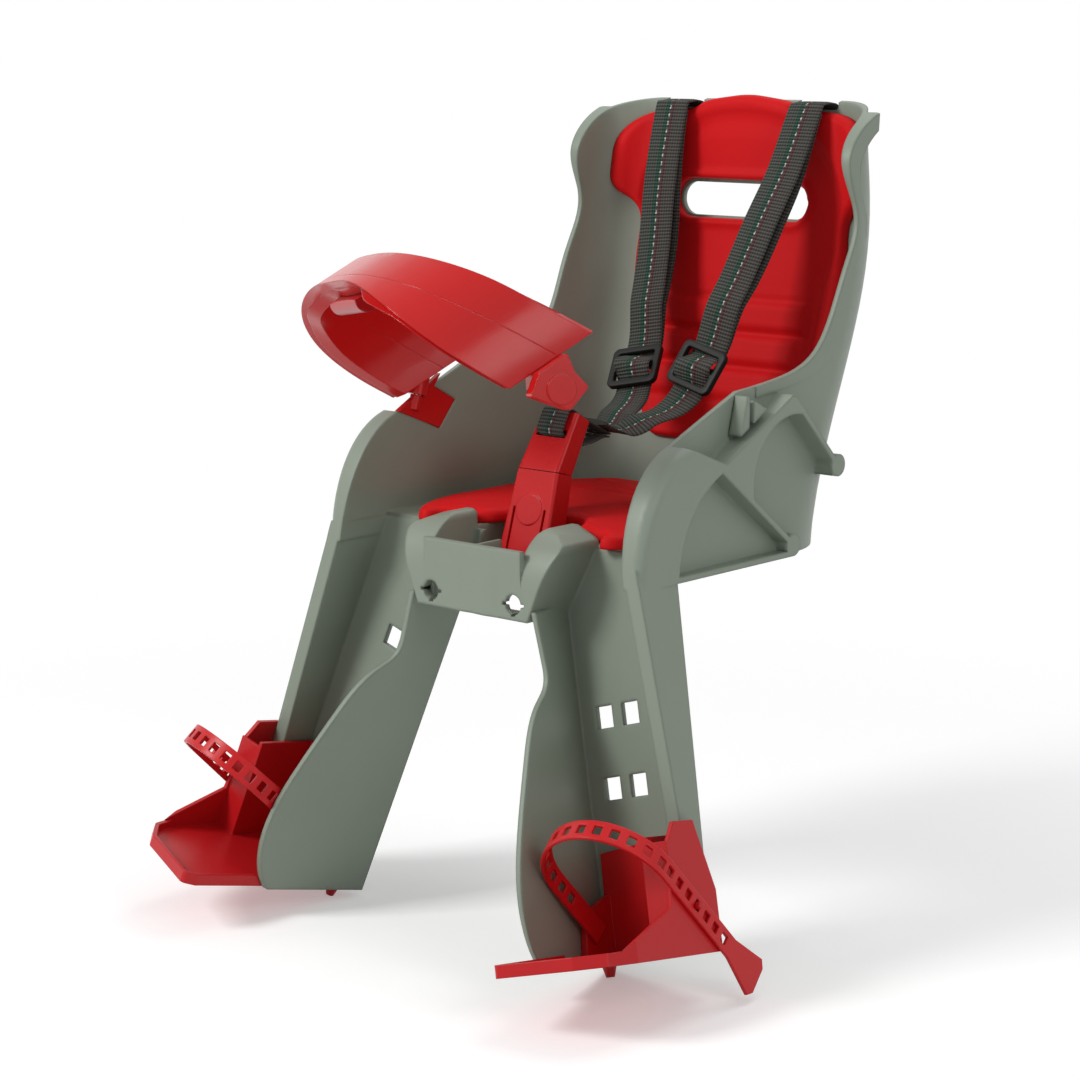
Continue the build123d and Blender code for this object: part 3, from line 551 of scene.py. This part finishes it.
def foam_pad(name, node, loops, place, emboss):
    """Moulded foam pad on a surface: rounded edges, a low crown and embossed lines."""
    points = pad_points(loops)
    edges = []
    first = 0
    for loop in loops:
        count = len(loop)
        edges += [(first + i, first + (i + 1) % count) for i in range(count)]
        first += count
    flat, _, faces, *_ = delaunay_2d_cdt([Vector(p) for p in points], edges, [], TRIANGLES_INSIDE, 1e-5)
    spots = np.array([tuple(p) for p in flat])
    depth = edge_distance(spots, loops)
    middles = edge_distance(np.array([spots[list(face)].mean(axis=0) for face in faces]), loops)
    faces = [face for face, middle in zip(faces, middles) if middle > 0]
    bm = bmesh.new()
    fronts = []
    backs = []
    for (u, v), d in zip(flat, depth):
        base, normal = place(u, v)
        d = max(d, 0.0)
        rounding = math.sqrt(1 - (1 - min(d / PAD_ROUND, 1)) ** 2)
        height = PAD * (0.22 + 0.78 * rounding) + PAD_CROWN * smooth(0, 45, d) + emboss(u, v, d)
        fronts.append(bm.verts.new(row(*(base + normal * (PAD_SEAT + height)))))
        backs.append(bm.verts.new(row(*(base + normal * PAD_SEAT))))
    sides = {}
    for face in faces:
        bm.faces.new([fronts[i] for i in face])
        bm.faces.new([backs[i] for i in reversed(face)])
        for a, b in zip(face, face[1:] + face[:1]):
            sides[(a, b)] = sides.get((a, b), 0) + 1
    for a, b in sides:
        if (b, a) not in sides:
            bm.faces.new([fronts[b], fronts[a], backs[a], backs[b]])
    bmesh.ops.recalc_face_normals(bm, faces=bm.faces)
    for face in bm.faces:
        face.smooth = True
    mesh = bpy.data.meshes.new(name)
    bm.to_mesh(mesh)
    bm.free()
    obj = link(bpy.data.objects.new(name, mesh))
    paint(obj, "pad_red")
    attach(obj, "seat")
    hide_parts(node)


def mirrored(half):
    """The points of one half and, in reverse, of the other."""
    return half + [(-x, v) for x, v in reversed(half) if x]


def groove(distance, half):
    """Depth share of a moulded line at that distance from its middle."""
    return 1 - smooth(0, half, abs(distance))


def shell_depth(x, z):
    """Y of the inside of the back at that place; beside a slot, of the wall next to it."""
    for lift in SLOT_DETOURS:
        hit = SHELL.ray_cast(row(x, RAY_FROM, min(z, RIM_Z) + lift), Vector((0, 1, 0)))[0]
        if hit:
            return hit.y / MM
    return BACK_TOP


def on_back(x, z):
    """Place on the inside of the back and the direction out of it."""
    w = NORMAL_SPAN
    slope = Vector((
        shell_depth(x + w, z) - shell_depth(x - w, z), -2 * w, shell_depth(x, z + w) - shell_depth(x, z - w),
    ))
    return Vector((x, shell_depth(x, z), z)), slope.normalized()


def on_pan(x, y):
    """Place on the seat pan and the direction out of it."""
    return Vector((x, y, PAN_Z)), Vector((0, 0, 1))


def back_emboss(x, z, d):
    """Head panel let in under its arc, raised side bolsters, and rows of lumbar blocks."""
    if z > HEAD_MIDDLE:
        share = (abs(x) / HEAD_HALF) ** ARC_POWER + ((z - HEAD_MIDDLE) / HEAD_RISE) ** ARC_POWER
        inside = (1 - share ** (1 / ARC_POWER)) * HEAD_RISE
    else:
        inside = HEAD_HALF - WAIST * smooth(0, HEAD_MIDDLE - LUMBAR_TOP, HEAD_MIDDLE - z) - abs(x)
    height = -PANEL_DEPTH * smooth(-2, 7, inside) - CREASE * groove(inside - 1, 4.5)
    for i in range(LUMBAR_ROWS):
        high = LUMBAR_TOP - i * LUMBAR_PITCH
        side = LUMBAR_HALF - LUMBAR_TAPER * i - abs(x)
        edge = min(side, z - high + LUMBAR_PITCH, high - z)
        height += LUMBAR_HEIGHT * smooth(0, 7, edge) - CREASE * groove(edge, 3.2)
    return height * smooth(1, 9, d)


def seat_emboss(x, y, d):
    """Thigh hollows in front and two moulded lines across the middle."""
    sweep = SEAT_SWEEP * max(abs(x) - SEAT_FLAT, 0.0)
    lines = groove(y - SEAT_LINE, 4.5) + groove(y - SEAT_LINE - SEAT_BAND - sweep, 4.5)
    away = math.hypot((abs(x) - THIGH[0]) / THIGH_REACH[0], (y - THIGH[1]) / THIGH_REACH[1])
    return (-SEAT_GROOVE * lines - THIGH_DEPTH * (1 - smooth(0, 1, away))) * smooth(2, 12, d)


back_loops = [closed_line(mirrored(BACK_HALF), BACK_ROUND), slot_line(*BACK_SLOT)]
seat_loops = [closed_line(mirrored(SEAT_HALF), SEAT_ROUND)]
foam_pad("pad_back", "back_pad", back_loops, on_back, back_emboss)
foam_pad("pad_seat", "seat_pad", seat_loops, on_pan, seat_emboss)


# Floor, light and camera: sizes in metres, the camera's place as in the part's drawing

FLOOR_SIZE = 6.0
FLOOR_LIFT = 0.3
FADE = (0.45, 1.1)
WORLD_LIGHT = 0.36
CAMERA_PLACE = (1234.6, -1329.24, 620.36)
CAMERA_SIDE = 41.4
CAMERA_HEIGHT = 10.63


def aim(obj, place, target):
    obj.location = place
    obj.rotation_euler = (Vector(target) - Vector(place)).to_track_quat("-Z", "Y").to_euler()


def area_light(name, place, target, size, power):
    data = bpy.data.lights.new(name, "AREA")
    data.energy = power
    data.size = size
    lamp = link(bpy.data.objects.new(name, data))
    aim(lamp, place, target)


def seen(tree):
    """1 for the rays that show the background: from the camera, by reflection or through glass."""
    path = add(tree, "ShaderNodeLightPath")
    shown = calc(tree, "MAXIMUM", path.outputs["Is Camera Ray"], path.outputs["Is Glossy Ray"])
    return calc(tree, "MAXIMUM", shown, path.outputs["Is Transmission Ray"])


def floor_material():
    """Pale floor that keeps the object's shadow and fades to plain white away from it."""
    mat, tree, bsdf = shader("floor", (0.86, 0.86, 0.86), 0.9, 0.0)
    shown = seen(tree)
    lift = add(tree, "ShaderNodeEmission")
    tree.links.new(calc(tree, "MULTIPLY", shown, FLOOR_LIFT), lift.inputs["Strength"])
    near = add(tree, "ShaderNodeAddShader")
    tree.links.new(bsdf.outputs["BSDF"], near.inputs[0])
    tree.links.new(lift.outputs["Emission"], near.inputs[1])
    place = add(tree, "ShaderNodeNewGeometry")
    length = add(tree, "ShaderNodeVectorMath", operation="LENGTH")
    tree.links.new(place.outputs["Position"], length.inputs[0])
    near_end, far_end = FADE
    fade = add(
        tree, "ShaderNodeMapRange", interpolation_type="SMOOTHSTEP", From_Min=near_end, From_Max=far_end,
    )
    tree.links.new(length.outputs["Value"], fade.inputs["Value"])
    white = add(tree, "ShaderNodeEmission")
    both = add(tree, "ShaderNodeMixShader")
    tree.links.new(calc(tree, "MULTIPLY", shown, fade.outputs["Result"]), both.inputs["Fac"])
    tree.links.new(near.outputs["Shader"], both.inputs[1])
    tree.links.new(white.outputs["Emission"], both.inputs[2])
    tree.links.new(both.outputs["Shader"], tree.nodes["Material Output"].inputs["Surface"])
    return mat


def studio():
    mesh = bpy.data.meshes.new("floor")
    s = FLOOR_SIZE
    corners = [(-s, -s, -FLOOR), (s, -s, -FLOOR), (s, s, -FLOOR), (-s, s, -FLOOR)]
    mesh.from_pydata(corners, [], [(0, 1, 2, 3)])
    floor = link(bpy.data.objects.new("floor", mesh))
    mesh.materials.append(floor_material())
    world = bpy.data.worlds.new("world")
    bpy.context.scene.world = world
    world.use_nodes = True
    tree = world.node_tree
    light = tree.nodes["Background"]
    light.inputs["Color"].default_value = (1, 1, 1, 1)
    light.inputs["Strength"].default_value = WORLD_LIGHT
    white = add(tree, "ShaderNodeBackground", Color=(1, 1, 1, 1), Strength=1.0)
    mix = add(tree, "ShaderNodeMixShader")
    tree.links.new(seen(tree), mix.inputs["Fac"])
    tree.links.new(light.outputs["Background"], mix.inputs[1])
    tree.links.new(white.outputs["Background"], mix.inputs[2])
    tree.links.new(mix.outputs["Shader"], tree.nodes["World Output"].inputs["Surface"])
    area_light("key", (-0.9, -1.7, 1.5), (0, 0.05, 0.05), 0.7, 34)
    area_light("side", (1.9, -0.3, 0.9), (0, 0.1, 0.1), 0.8, 7)
    area_light("top", (0.1, 0.9, 1.7), (0, 0.1, 0.1), 1.0, 8)
    bpy.context.scene.view_settings.view_transform = "Standard"


def camera():
    azimuth = math.radians(CAMERA_SIDE)
    height = math.radians(CAMERA_HEIGHT)
    level = math.cos(height)
    back = Vector((math.sin(azimuth) * level, -math.cos(azimuth) * level, math.sin(height)))
    right = Vector((math.cos(azimuth), math.sin(azimuth), 0))
    up = back.cross(right)
    data = bpy.data.cameras.new("camera")
    data.sensor_width = 36
    data.lens = 90
    data.clip_end = 50
    cam = link(bpy.data.objects.new("camera", data))
    turn = Matrix((right, up, back)).transposed().to_4x4()
    cam.matrix_world = Matrix.Translation(row(*CAMERA_PLACE)) @ turn
    bpy.context.scene.camera = cam


studio()
camera()
